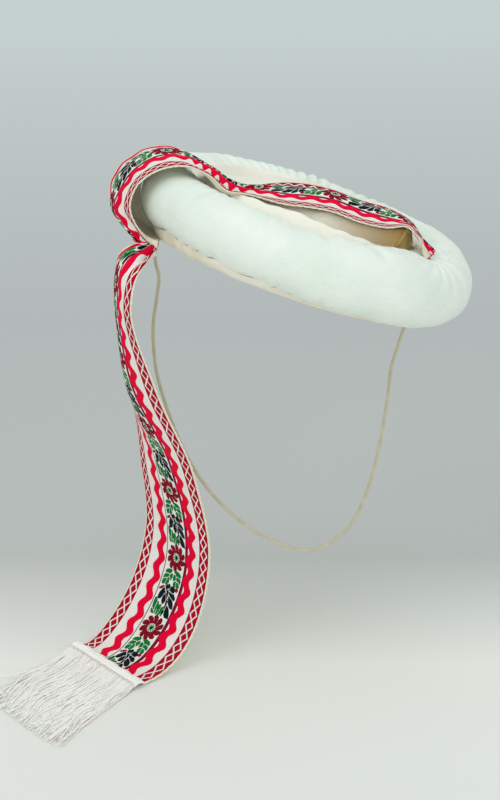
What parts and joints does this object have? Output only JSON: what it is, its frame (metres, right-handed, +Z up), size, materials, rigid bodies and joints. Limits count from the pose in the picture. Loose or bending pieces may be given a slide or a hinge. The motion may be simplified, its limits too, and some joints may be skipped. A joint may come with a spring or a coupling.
{
  "type": "padded ring hat with ribbon",
  "caption": "Folk hat: a stuffed white ring with a shallow cloth crown, a woven ribbon laid over it and hanging to a fringed end, and a thin chin elastic.",
  "frame": {"origin": "on the crown's underside where it bears on the top of the wearer's head", "axes": "+Z up along the wearer's head, -Y the way the wearer looks, +X towards the wearer's left"},
  "size_m": [0.3496, 0.2231, 0.3295],
  "materials": {
    "ring_cloth": "satin white cotton sateen over stuffing",
    "crown_cloth": "matt cream cotton",
    "band_cloth": "matt cream cotton",
    "ribbon": "woven figured ribbon, crimson stripes and flowers on white",
    "ribbon_end": "woven figured ribbon, crimson stripes and flowers on white",
    "fringe_yarn": "loose white yarn",
    "elastic": "thin beige covered elastic"
  },
  "bodies": {
    "root": {"padded_ring": "ring_cloth", "crown_cloth": "crown_cloth", "head_band": "band_cloth", "ribbon_band": "ribbon", "ribbon_tail": "ribbon_end", "fringe": "fringe_yarn", "chin_elastic": "elastic"}
  },
  "joints": []
}
